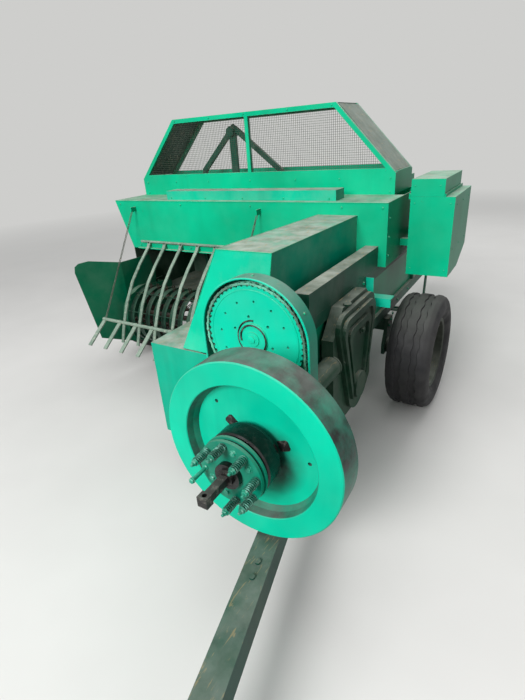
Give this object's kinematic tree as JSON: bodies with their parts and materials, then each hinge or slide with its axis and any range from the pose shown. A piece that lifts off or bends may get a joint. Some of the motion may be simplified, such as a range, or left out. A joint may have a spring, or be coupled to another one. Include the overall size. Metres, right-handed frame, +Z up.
{
  "type": "square baler",
  "caption": "Towed square baler with side pickup, mesh feeder guard, large flywheel with spring loaded slip clutch, bale case, knotter, twine box and swinging tongue.",
  "frame": {"origin": "bottom centre of the whole machine's box, on the ground", "axes": "-Y is the front of the machine, +X its left side, +Z up"},
  "size_m": [2.5528, 5.1188, 1.745],
  "materials": {
    "paint_green": "worn gloss enamel with dust",
    "paint_dark_green": "dusty shaded enamel",
    "bare_steel": "worn bare steel with traces of paint",
    "rusty_steel": "light rust",
    "black_iron": "black, greasy",
    "tyre_rubber": "old, dusty",
    "rim_paint": "worn dull paint"
  },
  "bodies": {
    "chassis": {"axle_beam": "paint_dark_green", "drawbar_bracket": "paint_dark_green", "bale_case": "paint_green", "case_rails": "paint_dark_green", "plunger_head": "bare_steel", "feeder_housing": "paint_green", "feed_table": "paint_dark_green", "step_box": "paint_green", "guard_base": "paint_green", "guard_frame": "paint_green", "guard_mesh": "bare_steel", "guard_sides": "paint_dark_green", "feeder_forks": "paint_green", "hood": "paint_green", "front_shield": "paint_green", "gearcase": "paint_dark_green", "gearcase_cover": "paint_green", "chain_guard": "paint_green", "drive_chain": "rusty_steel", "knotter_frame": "paint_green", "knotter_shaft": "bare_steel", "tension_rails": "paint_green", "twine_box": "paint_green", "feed_rods": "bare_steel", "step_tab": "paint_green", "windguard_chains": "rusty_steel"},
    "flywheel_unit": {"flywheel": "paint_green", "clutch": "black_iron", "clutch_plates": "paint_green", "clutch_springs": "paint_dark_green", "drive_stub": "bare_steel"},
    "drive_disc_unit": {"drive_disc": "paint_green"},
    "wheel_left": {"tyre_left": "tyre_rubber", "rim_left": "rim_paint"},
    "wheel_right": {"tyre_right": "tyre_rubber", "rim_right": "rim_paint"},
    "pickup": {"pickup_frame": "paint_green", "stripper_bands": "paint_dark_green"},
    "reel": {"pickup_reel": "rusty_steel"},
    "windguard_unit": {"windguard": "bare_steel"},
    "needles": {"needle_yoke": "paint_dark_green"},
    "box_lid": {"twine_lid": "paint_green"},
    "chute": {"bale_chute": "paint_green"},
    "drawbar": {"tongue": "paint_dark_green", "jack": "bare_steel"}
  },
  "joints": [
    {"name": "flywheel_spin", "type": "hinge", "parent": "chassis", "child": "flywheel_unit", "pos_m": [0.89356, -1.21962, 0.648], "axis": [0, 1, 0], "continuous": true},
    {"name": "drive_disc_spin", "type": "hinge", "parent": "chassis", "child": "drive_disc_unit", "pos_m": [0.72256, -0.92562, 0.9], "axis": [0, 1, 0], "continuous": true},
    {"name": "wheel_left_spin", "type": "hinge", "parent": "chassis", "child": "wheel_left", "pos_m": [1.06856, 0.35938, 0.345], "axis": [1, 0, 0], "continuous": true},
    {"name": "wheel_right_spin", "type": "hinge", "parent": "chassis", "child": "wheel_right", "pos_m": [-1.17644, 0.35938, 0.345], "axis": [1, 0, 0], "continuous": true},
    {"name": "pickup_lift", "type": "hinge", "parent": "chassis", "child": "pickup", "pos_m": [-0.33344, 0.32938, 0.59], "axis": [1, 0, 0], "range_deg": [0, 8]},
    {"name": "reel_spin", "type": "hinge", "parent": "pickup", "child": "reel", "pos_m": [-0.33344, 0.05938, 0.43], "axis": [1, 0, 0], "continuous": true},
    {"name": "windguard_lift", "type": "hinge", "parent": "pickup", "child": "windguard_unit", "pos_m": [0.22356, -0.11062, 0.59], "axis": [-1, 0, 0], "range_deg": [0, 30]},
    {"name": "needle_swing", "type": "hinge", "parent": "chassis", "child": "needles", "pos_m": [0.59356, 1.39438, 0.718], "axis": [-1, 0, 0], "range_deg": [0, 52]},
    {"name": "twine_lid_open", "type": "hinge", "parent": "chassis", "child": "box_lid", "pos_m": [0.94456, 0.59938, 1.2535], "axis": [0, -1, 0], "range_deg": [0, 90]},
    {"name": "chute_fold", "type": "hinge", "parent": "chassis", "child": "chute", "pos_m": [0.59356, 2.02738, 0.522], "axis": [1, 0, 0], "range_deg": [0, 80]},
    {"name": "tongue_swing", "type": "hinge", "parent": "chassis", "child": "drawbar", "pos_m": [0.79656, -0.64062, 0.24], "axis": [0, 0, 1], "range_deg": [-38, 0]}
  ],
  "couplings": [
    {"joint": "drive_disc_spin", "follows": "flywheel_spin", "ratio": 0.25}
  ]
}
